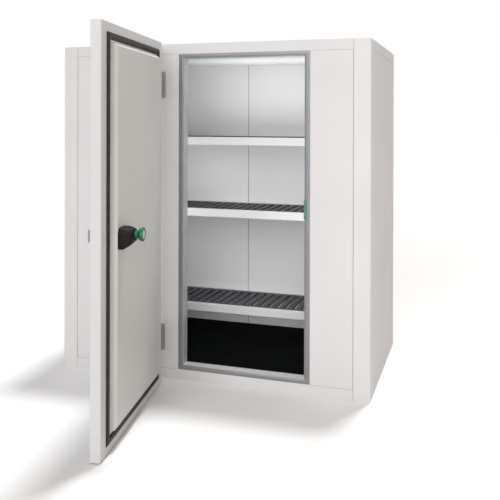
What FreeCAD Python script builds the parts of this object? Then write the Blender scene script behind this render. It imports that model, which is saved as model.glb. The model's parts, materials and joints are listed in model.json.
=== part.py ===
"""A walk-in cold room with its hinged door standing open and shelving inside.

Millimetres, +Z up, the front of the room faces -Y. The origin is on the ground,
in the middle of the room's footprint.
"""
import FreeCAD, Part
import math
import os
import re

import Sketcher

# Driving dimensions: name, millimetres or degrees, and what it is
SIZES = [
    ("room_width", 1930, "outside, left to right"),
    ("room_depth", 1060, "outside, front to back"),
    ("room_height", 2000, "outside, with floor and ceiling panels"),
    ("wall_thick", 60, "sandwich panel of the walls"),
    ("floor_thick", 60, "sandwich panel of the floor"),
    ("ceiling_thick", 60, "sandwich panel of the ceiling"),
    ("post_leg", 96, "outside face of a corner post"),
    ("post_edge", 3, "bevel on the outside corner of a post"),
    ("seam_bevel", 2, "bevel along the outside edges of a panel"),
    ("tongue_wide", 18, "tongue along the joints between panels"),
    ("tongue_deep", 12, "tongue along the joints between panels"),
    ("joint_play", 0.5, "tongue in its groove, all round"),
    ("back_seam", -75, "joint between the back panels, from the room's middle"),
    ("covering_thick", 3, "anti-slip floor covering"),
    ("covering_gap", 3, "covering to the walls"),
    ("clear_left", -148, "left side of the clear doorway, from the room's middle"),
    ("clear_width", 741, "clear doorway"),
    ("frame_face", 32, "visible width of the door frame at its sides"),
    ("head_face", 26, "visible width of the door frame at its head"),
    ("sill_face", 28, "visible width of the door frame at its sill"),
    ("frame_web", 5, "frame lining over a panel's cut edge"),
    ("frame_proud", 2, "frame flange in front of the wall"),
    ("frame_bevel", 9, "slope along both edges of the frame flange"),
    ("leaf_overlap", 119, "door leaf beyond the clear doorway, each side"),
    ("leaf_thick", 52, "door leaf without its plug"),
    ("leaf_gap", 18, "closed leaf to the wall"),
    ("leaf_lift", 5, "leaf above the ground"),
    ("leaf_bevel", 3, "bevel on the leaf's upright edges"),
    ("plug_clearance", 8, "closed plug to the frame, all round"),
    ("plug_depth", 30, "plug in front of the leaf's inner face"),
    ("plug_bevel", 12, "bevel round the plug"),
    ("gasket_side", 68, "gasket to the leaf's upright edges"),
    ("gasket_top", 45, "gasket to the leaf's top edge"),
    ("gasket_low", 40, "gasket to the leaf's bottom edge"),
    ("gasket_width", 34, "gasket, across"),
    ("gasket_base", 4, "strip that holds the gasket's bead"),
    ("gasket_lip", 6, "strip beside the bead, each side"),
    ("gasket_thick", 11, "gasket in front of the leaf"),
    ("open_angle", 80.25, "door leaf from closed"),
    ("hinge_out", 30, "hinge pin to the end of the leaf"),
    ("hinge_front", 57, "hinge pin in front of the wall"),
    ("hinge_tall", 156, "hinge plates"),
    ("hinge_drop", 243, "middle of the upper hinge below the room's top"),
    ("hinge_lower", 244, "middle of the lower hinge"),
    ("hinge_plate", 4, "thickness of the hinge plates"),
    ("plate_round", 12, "rounded corners of the hinge plates"),
    ("wall_plate_out", 38, "wall plate from the pin, away from the doorway"),
    ("wall_plate_in", 31, "wall plate from the pin, towards the doorway"),
    ("strap_reach", 60, "leaf plate along the leaf's outer face"),
    ("strap_back", 20, "leaf plate on the leaf's end, from the pin towards the wall"),
    ("barrel_radius", 10, "hinge knuckles"),
    ("knuckle_web", 14, "web that carries the wall knuckles, across"),
    ("strap_web", 8, "web that carries the leaf knuckle, across"),
    ("knuckle_room", 5, "free room round the leaf knuckle"),
    ("pin_radius", 6, "hinge pin"),
    ("pin_play", 0.05, "hinge pin in its knuckles, radial"),
    ("pin_head", 8, "radius of the pin's head"),
    ("pin_head_tall", 3, "pin's head"),
    ("knuckle_play", 0.5, "between knuckles, along the pin"),
    ("housing_edge", 138, "release housing to the leaf's free edge"),
    ("housing_wide", 118, "release housing at its foot"),
    ("housing_low", 940, "underside of the release housing"),
    ("housing_tall", 100, "release housing at its foot"),
    ("housing_depth", 62, "release housing in front of the plug"),
    ("housing_step", 27, "straight foot of the release housing"),
    ("housing_bevel", 12, "taper at the housing's sides and top"),
    ("housing_slope", 31, "taper under the housing"),
    ("foot_cut", 10, "cut corners of the housing's foot"),
    ("face_cut", 8, "cut corners of the housing's face"),
    ("knob_edge", 205, "knob's axis to the leaf's free edge"),
    ("knob_high", 1004, "knob's axis above the ground"),
    ("neck_radius", 19, "knob's neck"),
    ("neck_play", 0.05, "neck in the housing, radial"),
    ("neck_bare", 17, "straight neck outside the housing"),
    ("knob_radius", 33, "knob's rim"),
    ("knob_flare", 18, "flared length of the knob"),
    ("knob_rim", 9, "rim of the knob"),
    ("knob_edge_cut", 3, "bevel on the edge of the knob's rim"),
    ("knob_dish", 21, "radius of the dish in the knob's face"),
    ("dish_depth", 2, "dish in the knob's face"),
    ("knob_inside", 38, "neck inside the housing"),
    ("grip_edge", 100, "outside handle to the leaf's free edge"),
    ("grip_high", 1027, "middle of the outside handle"),
    ("grip_foot_wide", 80, "foot of the outside handle"),
    ("grip_foot_tall", 150, "foot of the outside handle"),
    ("grip_foot_thick", 12, "foot of the outside handle"),
    ("grip_long", 180, "outside handle, along the leaf"),
    ("grip_tall", 34, "bar of the outside handle"),
    ("grip_thick", 20, "bar of the outside handle"),
    ("grip_room", 30, "finger room behind the bar"),
    ("grip_round", 7, "rounding of the outside handle"),
    ("foot_round", 16, "rounded corners of the outside handle's foot"),
    ("keeper_low", 987, "underside of the latch keeper"),
    ("keeper_tall", 114, "latch keeper"),
    ("keeper_wide", 12, "latch keeper on the frame's flange"),
    ("keeper_thick", 4, "latch keeper on the frame's flange"),
    ("keeper_skin", 2, "latch keeper along the doorway's side"),
    ("nose_out", 10, "keeper's nose into the clear doorway"),
    ("nose_start", 22, "keeper's nose behind the wall's face"),
    ("nose_end", 46, "keeper's nose behind the wall's face"),
    ("nose_short", 15, "keeper's nose below the keeper's top"),
    ("shelf_side", 50, "shelving to the side walls"),
    ("shelf_back", 10, "shelving to the back wall"),
    ("shelf_deep", 440, "shelving, front to back"),
    ("shelf_top", 1431, "top edge of the top shelf"),
    ("shelf_middle", 947, "top edge of the middle shelf"),
    ("shelf_low", 307, "top edge of the low shelf"),
    ("upright_side", 30, "square uprights"),
    ("upright_top", 1470, "top of the uprights"),
    ("foot_tall", 10, "foot under an upright"),
    ("foot_radius", 20, "foot under an upright"),
    ("rail_tall", 54, "shelf rails"),
    ("rail_thick", 20, "shelf rails"),
    ("rail_edge", 3, "bevel on the rails"),
    ("ledge_deep", 12, "ledge that carries the deck"),
    ("ledge_thick", 4, "ledge that carries the deck"),
    ("deck_thick", 12, "slotted deck"),
    ("deck_sink", 3, "deck below the rails' top edge"),
    ("deck_play", 2, "deck to the uprights and rails"),
    ("deck_margin", 40, "slots to the deck's edges"),
    ("slot_wide", 26, "slot in the deck"),
    ("slot_count", 28, "slots in a deck"),
]

doc = FreeCAD.newDocument("cold_room")
sizes = doc.addObject("Spreadsheet::Sheet", "Sizes")
for row, (name, number, note) in enumerate(SIZES, start=1):
    sizes.set("A%d" % row, name)
    sizes.set("B%d" % row, str(number))
    sizes.set("C%d" % row, note)
    sizes.setAlias("B%d" % row, name)
doc.recompute()
NAMES = {name for name, number, note in SIZES}

# Places worked out from the driving dimensions
CLEAR_RIGHT = "(clear_left + clear_width)"
CLEAR_LOW = "(floor_thick + sill_face)"
CLEAR_HIGH = "(room_height - ceiling_thick - head_face)"
WALL_HEIGHT = "(room_height - floor_thick - ceiling_thick)"
HINGE_X = "(clear_left - leaf_overlap - hinge_out)"
HINGE_Y = "(-room_depth / 2 - hinge_front)"
LEAF_END = "(hinge_out + clear_width + 2 * leaf_overlap)"
LEAF_INNER = "(hinge_front - leaf_gap)"
LEAF_OUTER = "(hinge_front - leaf_gap - leaf_thick)"
PLUG_FACE = "(hinge_front - leaf_gap + plug_depth)"
HOUSING_FACE = "(hinge_front - leaf_gap + plug_depth + housing_depth)"
SHELF_END = "(room_width / 2 - wall_thick - shelf_side)"
SHELF_REAR = "(room_depth / 2 - wall_thick - shelf_back)"
SHELF_FRONT = "(room_depth / 2 - wall_thick - shelf_back - shelf_deep)"


def full(text):
    """An expression with each size name written as a cell of the sheet."""
    return re.sub(r"[a-z_]+", lambda word: "Sizes." + word[0] if word[0] in NAMES else word[0], text)


def value(text):
    """What an expression over the sheet comes to now."""
    return float(sizes.evalExpression(full(text)))


def bind(thing, prop, text):
    thing.setExpression(prop, full(text))


def new_body(label, x="0", y="0", z="0", turn="0", axis=(0, 0, 1)):
    """A sub-part whose own origin stands at x, y, z, turned about an axis."""
    body = doc.addObject("PartDesign::Body", label)
    body.Label = label
    body.Placement.Rotation = FreeCAD.Rotation(FreeCAD.Vector(*axis), value(turn))
    bind(body, "Placement.Base.x", x)
    bind(body, "Placement.Base.y", y)
    bind(body, "Placement.Base.z", z)
    return body


def door_body(label, z="0"):
    """A sub-part of the door: drawn closed, from the hinge axis, then swung open."""
    body = new_body(label, HINGE_X, HINGE_Y, z, "-open_angle")
    bind(body, "Placement.Rotation.Angle", "-open_angle")
    return body


def new_sketch(body, role, offset):
    """An empty sketch on one of the body's own origin planes, moved by offset."""
    sketch = body.newObject("Sketcher::SketchObject", "sketch")
    plane = [item for item in body.Origin.OriginFeatures if item.Role == role][0]
    sketch.AttachmentSupport = [(plane, "")]
    sketch.MapMode = "FlatFace"
    for axis, text in zip("xyz", offset):
        bind(sketch, "AttachmentOffset.Base." + axis, text)
    return sketch


def fix_point(sketch, geometry, end, point):
    """Tie one point of the sketch to expressions for its two coordinates."""
    for kind, text in zip(("DistanceX", "DistanceY"), point):
        number = sketch.addConstraint(Sketcher.Constraint(kind, -1, 1, geometry, end, value(text)))
        bind(sketch, "Constraints[%d]" % number, text)


def along_edge(corner, other, radius):
    """The point a radius away from a corner, along its level or upright edge to another."""
    gap_x = value(other[0]) - value(corner[0])
    gap_y = value(other[1]) - value(corner[1])
    if abs(gap_x) > abs(gap_y):
        return "%s %s %s" % (corner[0], "-" if gap_x < 0 else "+", radius), corner[1]
    return corner[0], "%s %s %s" % (corner[1], "-" if gap_y < 0 else "+", radius)


def rounded(corners):
    """An outline's points in order, and the rounding that starts at some of them."""
    points, roundings = [], {}
    for index, corner in enumerate(corners):
        if len(corner) == 2:
            points.append(corner)
            continue
        start = along_edge(corner, corners[index - 1], corner[2])
        end = along_edge(corner, corners[(index + 1) % len(corners)], corner[2])
        centre = [value(start[axis]) + value(end[axis]) - value(corner[axis]) for axis in (0, 1)]
        roundings[len(points)] = (FreeCAD.Vector(*centre, 0), corner[2])
        points += [start, end]
    return points, roundings


def outline(body, role, *loops, offset=("0", "0", "0")):
    """A sketch of closed outlines, each a list of corners.

    A third entry rounds a corner; such an outline runs anticlockwise.
    """
    sketch = new_sketch(body, role, offset)
    for corners in loops:
        points, roundings = rounded(corners)
        first = sketch.GeometryCount
        ends = [FreeCAD.Vector(value(x), value(y), 0) for x, y in points]
        for index, start in enumerate(ends):
            end = ends[(index + 1) % len(ends)]
            edge = Part.LineSegment(start, end)
            if index in roundings:
                centre, radius = roundings[index]
                turns = [math.atan2(end.y - centre.y, end.x - centre.x) for end in (start, end)]
                edge = Part.ArcOfCircle(Part.Circle(centre, FreeCAD.Vector(0, 0, 1), value(radius)), *turns)
            sketch.addGeometry(edge, False)
        for index, point in enumerate(points):
            following = first + (index + 1) % len(points)
            sketch.addConstraint(Sketcher.Constraint("Coincident", first + index, 2, following, 1))
            fix_point(sketch, first + index, 1, point)
        for index, (centre, radius) in roundings.items():
            number = sketch.addConstraint(Sketcher.Constraint("Radius", first + index, value(radius)))
            bind(sketch, "Constraints[%d]" % number, radius)
    return sketch


def circle(body, role, centre, radius, offset=("0", "0", "0")):
    """A sketch of one circle."""
    sketch = new_sketch(body, role, offset)
    middle = FreeCAD.Vector(value(centre[0]), value(centre[1]), 0)
    sketch.addGeometry(Part.Circle(middle, FreeCAD.Vector(0, 0, 1), value(radius)), False)
    fix_point(sketch, 0, 3, centre)
    number = sketch.addConstraint(Sketcher.Constraint("Radius", 0, value(radius)))
    bind(sketch, "Constraints[%d]" % number, radius)
    return sketch


def box_points(x0, x1, y0, y1, *radius):
    """The corners of a rectangle, rounded where a radius is given."""
    return [(x0, y0) + radius, (x1, y0) + radius, (x1, y1) + radius, (x0, y1) + radius]


def pad(body, sketch, length, back=False):
    """Add material from a sketch, along its normal or back against it."""
    feature = body.newObject("PartDesign::Pad", "pad")
    feature.Profile = sketch
    feature.Reversed = back
    bind(feature, "Length", length)
    return feature


def pocket(body, sketch, length):
    """Cut material away from a sketch, along its normal."""
    feature = body.newObject("PartDesign::Pocket", "pocket")
    feature.Profile = sketch
    feature.Reversed = True
    bind(feature, "Length", length)
    return feature


# Shell of the room: floor, ceiling, corner posts and wall panels

# Where the tongues and grooves lie in the wall's thickness
TONGUE = ("(wall_thick / 2 - tongue_wide / 2)", "(wall_thick / 2 + tongue_wide / 2)")
GROOVE = (TONGUE[0] + " - joint_play", TONGUE[1] + " + joint_play")


def slab(label, z, thick):
    """A floor or ceiling panel, notched round the four corner posts."""
    body = new_body(label, z=z)
    corners = [(-1, -1), (1, -1), (1, 1), (-1, 1)]
    points = []
    for index, (across, along) in enumerate(corners):
        notch = [
            ("%d * (room_width / 2)" % across, "%d * (room_depth / 2 - post_leg)" % along),
            ("%d * (room_width / 2 - wall_thick)" % across, "%d * (room_depth / 2 - post_leg)" % along),
            ("%d * (room_width / 2 - post_leg)" % across, "%d * (room_depth / 2 - wall_thick)" % along),
            ("%d * (room_width / 2 - post_leg)" % across, "%d * (room_depth / 2)" % along),
        ]
        points += notch if index % 2 == 0 else notch[::-1]
    pad(body, outline(body, "XY_Plane", points), thick)
    return body


def floor_covering():
    """The dark anti-slip covering inside the walls, clipped at the corner posts."""
    body = new_body("floor_covering", z="floor_thick")
    points = []
    for index, (across, along) in enumerate([(-1, -1), (1, -1), (1, 1), (-1, 1)]):
        clip = [
            ("%d * (room_width / 2 - wall_thick - covering_gap)" % across,
             "%d * (room_depth / 2 - post_leg - covering_gap)" % along),
            ("%d * (room_width / 2 - post_leg - covering_gap)" % across,
             "%d * (room_depth / 2 - wall_thick - covering_gap)" % along),
        ]
        points += clip if index % 2 == 0 else clip[::-1]
    pad(body, outline(body, "XY_Plane", points), "covering_thick")
    return body


def corner_post(label, x, y, turn):
    """A full-height corner post with a canted inner face.

    One leg has the groove for a panel's tongue, the other the tongue for a panel's groove.
    """
    body = new_body(label, x, y, "0", turn)
    points = [
        ("post_edge", "0"),
        ("post_leg - seam_bevel", "0"),
        ("post_leg", "seam_bevel"),
        ("post_leg", "wall_thick"),
        ("wall_thick", "post_leg"),
        ("seam_bevel", "post_leg"),
        ("0", "post_leg - seam_bevel"),
        ("0", "post_edge"),
    ]
    pad(body, outline(body, "XY_Plane", points), "room_height")
    tongue = outline(body, "XY_Plane", box_points(*TONGUE, "post_leg", "post_leg + tongue_deep"),
                     offset=("0", "0", "floor_thick"))
    pad(body, tongue, WALL_HEIGHT)
    groove_points = box_points("post_leg - tongue_deep - joint_play", "post_leg", *GROOVE)
    groove = outline(body, "XY_Plane", groove_points, offset=("0", "0", "floor_thick"))
    pocket(body, groove, WALL_HEIGHT)
    return body


def wall_panel(label, x, y, turn, length, starts_plain=False, ends_plain=False):
    """A wall panel between floor and ceiling; its outer face is its own y = 0.

    It starts with a tongue and ends with a groove, apart from an end in the door frame.
    """
    body = new_body(label, x, y, "floor_thick", turn)
    points = [
        ("seam_bevel", "0"),
        (length + " - seam_bevel", "0"),
        (length, "seam_bevel"),
        (length, "wall_thick"),
        ("0", "wall_thick"),
        ("0", "seam_bevel"),
    ]
    pad(body, outline(body, "XY_Plane", points), WALL_HEIGHT)
    if not starts_plain:
        pad(body, outline(body, "XY_Plane", box_points("-tongue_deep", "0", *TONGUE)), WALL_HEIGHT)
    if not ends_plain:
        groove = box_points(length + " - tongue_deep - joint_play", length, *GROOVE)
        pocket(body, outline(body, "XY_Plane", groove), WALL_HEIGHT)
    return body


def shell():
    right = "room_width / 2"
    back = "room_depth / 2"
    left_end = "(-room_width / 2 + post_leg)"
    right_end = "(room_width / 2 - post_leg)"
    frame_left = "(clear_left - frame_web)"
    frame_right = "(clear_left + clear_width + frame_web)"
    side = "(room_depth - 2 * post_leg)"
    return [
        slab("floor_panel", "0", "floor_thick"),
        floor_covering(),
        slab("ceiling_panel", "room_height - ceiling_thick", "ceiling_thick"),
        corner_post("corner_post_front_left", "-room_width / 2", "-room_depth / 2", "0"),
        corner_post("corner_post_front_right", right, "-room_depth / 2", "90"),
        corner_post("corner_post_back_right", right, back, "180"),
        corner_post("corner_post_back_left", "-room_width / 2", back, "270"),
        wall_panel("front_wall_left", left_end, "-room_depth / 2", "0",
                   "(%s - %s)" % (frame_left, left_end), ends_plain=True),
        wall_panel("front_wall_right", frame_right, "-room_depth / 2", "0",
                   "(%s - %s)" % (right_end, frame_right), starts_plain=True),
        wall_panel("side_wall_right", right, "-room_depth / 2 + post_leg", "90", side),
        wall_panel("back_wall_right", right_end, back, "180", "(%s - back_seam)" % right_end),
        wall_panel("back_wall_left", "back_seam", back, "180", "(back_seam - %s)" % left_end),
        wall_panel("side_wall_left", "-room_width / 2", "room_depth / 2 - post_leg", "270", side),
    ]


# Door frame: four mitred profiles that wrap the cut edges of the front wall

def frame_member(label, place, turn, axis, long, face, mitres, notch):
    """A profile along its own z, mitred at both ends; its own x runs away from the doorway.

    The wall panels stand in the spaces cut from it: along a jamb, and at the ends of
    the head and the sill, where notch is the depth of the space.
    """
    body = new_body(label, *place, turn, axis)
    section = [
        ("0", "0"), ("frame_bevel", "-frame_proud"), (face + " - frame_bevel", "-frame_proud"), (face, "0"),
        (face, "wall_thick"), (face + " - frame_bevel", "wall_thick + frame_proud"),
        ("frame_bevel", "wall_thick + frame_proud"), ("0", "wall_thick"),
    ]
    pad(body, outline(body, "XY_Plane", section), long)
    corners = [
        [("0", "0"), (face, "0"), ("0", mitres[0])],
        [("0", long), ("0", "%s - %s" % (long, mitres[1])), (face, long)],
    ]
    cuts = outline(body, "XZ_Plane", *corners, offset=("0", "0", "-wall_thick - frame_proud"))
    pocket(body, cuts, "wall_thick + 2 * frame_proud")
    if notch:
        points = box_points("0", face, "0", "wall_thick")
        for low in ("0", "%s - %s" % (long, notch)):
            pocket(body, outline(body, "XY_Plane", points, offset=("0", "0", low)), notch)
    else:
        points = box_points("frame_web", face, "0", "wall_thick")
        pocket(body, outline(body, "XY_Plane", points), long)
    return body


def door_frame():
    front = "-room_depth / 2"
    wide = "(clear_width + 2 * frame_face)"
    notch = "(frame_face - frame_web)"
    about_z, about_y = (0, 0, 1), (0, 1, 0)
    return [
        frame_member("frame_jamb_left", ("clear_left", front + " + wall_thick", "floor_thick"), "180",
                     about_z, WALL_HEIGHT, "frame_face", ("sill_face", "head_face"), None),
        frame_member("frame_jamb_right", (CLEAR_RIGHT, front, "floor_thick"), "0",
                     about_z, WALL_HEIGHT, "frame_face", ("sill_face", "head_face"), None),
        frame_member("frame_sill", ("clear_left - frame_face", front, CLEAR_LOW), "90",
                     about_y, wide, "sill_face", ("frame_face", "frame_face"), notch),
        frame_member("frame_head", (CLEAR_RIGHT + " + frame_face", front, CLEAR_HIGH), "-90",
                     about_y, wide, "head_face", ("frame_face", "frame_face"), notch),
    ]


def latch_keeper():
    """The L-shaped keeper on the right jamb, with the nose that the latch catches."""
    body = new_body("latch_keeper", CLEAR_RIGHT, "-room_depth / 2", "keeper_low")
    angle = [
        ("-keeper_skin", "-frame_proud - keeper_thick"),
        ("keeper_wide", "-frame_proud - keeper_thick"),
        ("keeper_wide", "-frame_proud"),
        ("0", "-frame_proud"),
        ("0", "nose_end"),
        ("-keeper_skin", "nose_end"),
    ]
    pad(body, outline(body, "XY_Plane", angle), "keeper_tall")
    nose = box_points("-nose_out", "-keeper_skin", "nose_start", "nose_end")
    pad(body, outline(body, "XY_Plane", nose), "keeper_tall - nose_short")
    return body


# Hinges: wall plate with two knuckles, pin, and leaf plate with one knuckle

def hinge(place, middle):
    bottom = middle + " - hinge_tall / 2"
    third = "(hinge_tall / 3)"

    plate = new_body("hinge_wall_plate_" + place, HINGE_X, HINGE_Y, bottom)
    plate_points = box_points("-wall_plate_out", "wall_plate_in", "0", "hinge_tall", "plate_round")
    pad(plate, outline(plate, "XZ_Plane", plate_points, offset=("0", "0", "-hinge_front")), "hinge_plate")
    web_points = box_points("-knuckle_web / 2", "knuckle_web / 2", "0", "hinge_front - hinge_plate")
    pad(plate, outline(plate, "XY_Plane", web_points), "hinge_tall")
    pad(plate, circle(plate, "XY_Plane", ("0", "0"), "barrel_radius"), "hinge_tall")
    reach = "(barrel_radius + knuckle_room)"
    room_points = box_points("-" + reach, reach, "-" + reach, reach)
    room = outline(plate, "XY_Plane", room_points, offset=("0", "0", third))
    pocket(plate, room, third)
    bore = circle(plate, "XY_Plane", ("0", "0"), "pin_radius + pin_play")
    pocket(plate, bore, "hinge_tall")

    pin = new_body("hinge_pin_" + place, HINGE_X, HINGE_Y, bottom)
    pad(pin, circle(pin, "XY_Plane", ("0", "0"), "pin_radius"), "hinge_tall")
    head = circle(pin, "XY_Plane", ("0", "0"), "pin_head", offset=("0", "0", "hinge_tall"))
    pad(pin, head, "pin_head_tall")

    strap = door_body("hinge_strap_" + place, bottom)
    end_face, leaf_back = "(hinge_out - hinge_plate)", LEAF_OUTER
    flange = [
        (end_face, "0"), ("hinge_out + strap_reach", "0", "plate_round"),
        ("hinge_out + strap_reach", "hinge_tall", "plate_round"), (end_face, "hinge_tall"),
    ]
    pad(strap, outline(strap, "XZ_Plane", flange, offset=("0", "0", "-" + leaf_back)), "hinge_plate")
    end_points = box_points(end_face, "hinge_out", leaf_back + " - hinge_plate", "strap_back")
    pad(strap, outline(strap, "XY_Plane", end_points), "hinge_tall")
    inner_low = third + " + knuckle_play"
    inner_tall = third + " - 2 * knuckle_play"
    arm_points = box_points("0", end_face, "-strap_web / 2", "strap_web / 2")
    pad(strap, outline(strap, "XY_Plane", arm_points, offset=("0", "0", inner_low)), inner_tall)
    barrel = circle(strap, "XY_Plane", ("0", "0"), "barrel_radius", offset=("0", "0", inner_low))
    pad(strap, barrel, inner_tall)
    bore = circle(strap, "XY_Plane", ("0", "0"), "pin_radius + pin_play", offset=("0", "0", inner_low))
    pocket(strap, bore, inner_tall)
    return [plate, pin, strap]


# Door: leaf, plug, gasket, release housing with its knob, outside handle

def door_leaf():
    body = door_body("door_leaf", "leaf_lift")
    low, high, edge = "hinge_out", LEAF_END, "leaf_bevel"
    outer, inner = LEAF_OUTER, LEAF_INNER
    points = [
        (low + " + " + edge, outer),
        (high + " - " + edge, outer),
        (high, outer + " + " + edge),
        (high, inner + " - " + edge),
        (high + " - " + edge, inner),
        (low + " + " + edge, inner),
        (low, inner + " - " + edge),
        (low, outer + " + " + edge),
    ]
    pad(body, outline(body, "XY_Plane", points), "room_height - leaf_lift")
    return body


def face_towards(feature, direction):
    """The name of a feature's flat face that lies furthest along a direction."""
    faces = list(enumerate(feature.Shape.Faces, start=1))
    number, face = max(faces, key=lambda item: item[1].CenterOfMass.dot(direction))
    return "Face%d" % number


def door_plug():
    """The part of the leaf that fills the doorway, bevelled round its face."""
    body = door_body("door_plug")
    points = box_points(
        "hinge_out + leaf_overlap + plug_clearance",
        LEAF_END + " - leaf_overlap - plug_clearance",
        CLEAR_LOW + " + plug_clearance",
        CLEAR_HIGH + " - plug_clearance")
    block = pad(body, outline(body, "XZ_Plane", points, offset=("0", "0", "-" + LEAF_INNER)),
                "plug_depth", back=True)
    doc.recompute()
    bevel = body.newObject("PartDesign::Chamfer", "bevel")
    bevel.Base = (block, [face_towards(block, FreeCAD.Vector(0, 1, 0))])
    bind(bevel, "Size", "plug_bevel")
    return body


def door_gasket():
    """The seal round the plug, on the leaf's inner face: a flat strip with a raised bead."""
    body = door_body("door_gasket")
    x0, x1 = "(hinge_out + gasket_side)", "(" + LEAF_END + " - gasket_side)"
    z0, z1 = "(leaf_lift + gasket_low)", "(room_height - gasket_top)"
    outer = box_points(x0, x1, z0, z1)
    inner = box_points(x0 + " + gasket_width", x1 + " - gasket_width",
                       z0 + " + gasket_width", z1 + " - gasket_width")
    strip = outline(body, "XZ_Plane", outer, inner, offset=("0", "0", "-" + LEAF_INNER))
    pad(body, strip, "gasket_base", back=True)
    outer = box_points(x0 + " + gasket_lip", x1 + " - gasket_lip",
                       z0 + " + gasket_lip", z1 + " - gasket_lip")
    edge = "(gasket_width - gasket_lip)"
    inner = box_points(x0 + " + " + edge, x1 + " - " + edge, z0 + " + " + edge, z1 + " - " + edge)
    bead = outline(body, "XZ_Plane", outer, inner, offset=("0", "0", "-" + LEAF_INNER))
    pad(body, bead, "gasket_thick", back=True)
    return body


def housing_section(body, x0, x1, z0, z1, y, cut):
    """A rectangle with its corners cut off, square to the plug."""
    points = [
        (x0 + " + " + cut, z0), (x1 + " - " + cut, z0), (x1, z0 + " + " + cut), (x1, z1 + " - " + cut),
        (x1 + " - " + cut, z1), (x0 + " + " + cut, z1), (x0, z1 + " - " + cut), (x0, z0 + " + " + cut),
    ]
    return outline(body, "XZ_Plane", points, offset=("0", "0", "-" + y))


def handle_housing():
    """The inside release housing: a straight foot, then a taper to its face."""
    body = door_body("handle_housing")
    x1 = "(" + LEAF_END + " - housing_edge)"
    x0 = "(" + LEAF_END + " - housing_edge - housing_wide)"
    z0, z1 = "housing_low", "(housing_low + housing_tall)"
    foot = housing_section(body, x0, x1, z0, z1, PLUG_FACE, "foot_cut")
    pad(body, foot, "housing_step", back=True)
    shoulder = housing_section(body, x0, x1, z0, z1, "(" + PLUG_FACE + " + housing_step)", "foot_cut")
    face = housing_section(body, x0 + " + housing_bevel", x1 + " - housing_bevel",
                           z0 + " + housing_slope", z1 + " - housing_bevel", HOUSING_FACE, "face_cut")
    taper = body.newObject("PartDesign::AdditiveLoft", "taper")
    taper.Profile = shoulder
    taper.Sections = [face]
    taper.Ruled = True
    centre = (LEAF_END + " - knob_edge", "knob_high")
    bore = circle(body, "XZ_Plane", centre, "neck_radius + neck_play",
                  offset=("0", "0", "-" + HOUSING_FACE))
    pocket(body, bore, "housing_depth")
    return body


def release_knob():
    """The flared push knob, turned about its own axis."""
    body = door_body("release_knob")
    start = HOUSING_FACE + " - knob_inside"
    flare = HOUSING_FACE + " + neck_bare"
    rim = flare + " + knob_flare"
    face = rim + " + knob_rim"
    points = [
        ("0", start),
        ("neck_radius", start),
        ("neck_radius", flare),
        ("knob_radius", rim),
        ("knob_radius", face + " - knob_edge_cut"),
        ("knob_radius - knob_edge_cut", face),
        ("knob_dish", face),
        ("knob_dish", face + " - dish_depth"),
        ("0", face + " - dish_depth"),
    ]
    offset = (LEAF_END + " - knob_edge", "0", "knob_high")
    profile = outline(body, "XY_Plane", points, offset=offset)
    turned = body.newObject("PartDesign::Revolution", "turned")
    turned.Profile = profile
    turned.ReferenceAxis = (profile, ["V_Axis"])
    turned.Angle = 360
    return body


def outside_handle():
    """A foot plate on the leaf's outer face and a bar that stands off it."""
    body = door_body("outside_handle")
    x1 = "(" + LEAF_END + " - grip_edge)"
    x0 = "(" + LEAF_END + " - grip_edge - grip_foot_wide)"
    foot_points = box_points(x0, x1, "grip_high - grip_foot_tall / 2", "grip_high + grip_foot_tall / 2",
                             "foot_round")
    foot = outline(body, "XZ_Plane", foot_points, offset=("0", "0", "-" + LEAF_OUTER))
    pad(body, foot, "grip_foot_thick")
    back = LEAF_OUTER + " - grip_room"
    front = back + " - grip_thick"
    end = x1 + " - grip_long"
    bar = [
        (x1, LEAF_OUTER), (x0, LEAF_OUTER), (x0, back), (end, back, "grip_round"),
        (end, front, "grip_round"), (x1, front, "grip_round"),
    ]
    arm = outline(body, "XY_Plane", bar, offset=("0", "0", "grip_high - grip_tall / 2"))
    pad(body, arm, "grip_tall")
    return body


# Shelving: four uprights, and at each level two rails that carry a deck

def upright(label, x, y):
    """A square upright on a round foot."""
    body = new_body(label, x, y, "floor_thick + covering_thick")
    middle = ("upright_side / 2", "upright_side / 2")
    pad(body, circle(body, "XY_Plane", middle, "foot_radius"), "foot_tall")
    points = box_points("0", "upright_side", "0", "upright_side")
    pad(body, outline(body, "XY_Plane", points), "upright_top - floor_thick - covering_thick")
    return body


def rail(label, level, front):
    """A shelf rail between two uprights; its own +Y side has the deck's ledge."""
    if front:
        body = new_body(label, "0", SHELF_FRONT, level + " - rail_tall", "0")
    else:
        body = new_body(label, "0", SHELF_REAR, level + " - rail_tall", "180")
    ledge = "(rail_tall - deck_sink - deck_thick)"
    points = [
        ("rail_edge", "0"),
        ("rail_thick", "0"),
        ("rail_thick", ledge + " - ledge_thick"),
        ("rail_thick + ledge_deep", ledge + " - ledge_thick"),
        ("rail_thick + ledge_deep", ledge),
        ("rail_thick", ledge),
        ("rail_thick", "rail_tall"),
        ("rail_edge", "rail_tall"),
        ("0", "rail_tall - rail_edge"),
        ("0", "rail_edge"),
    ]
    reach = SHELF_END + " - upright_side"
    section = outline(body, "YZ_Plane", points, offset=("0", "0", "-(" + reach + ")"))
    pad(body, section, "2 * (" + reach + ")")
    return body


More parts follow.
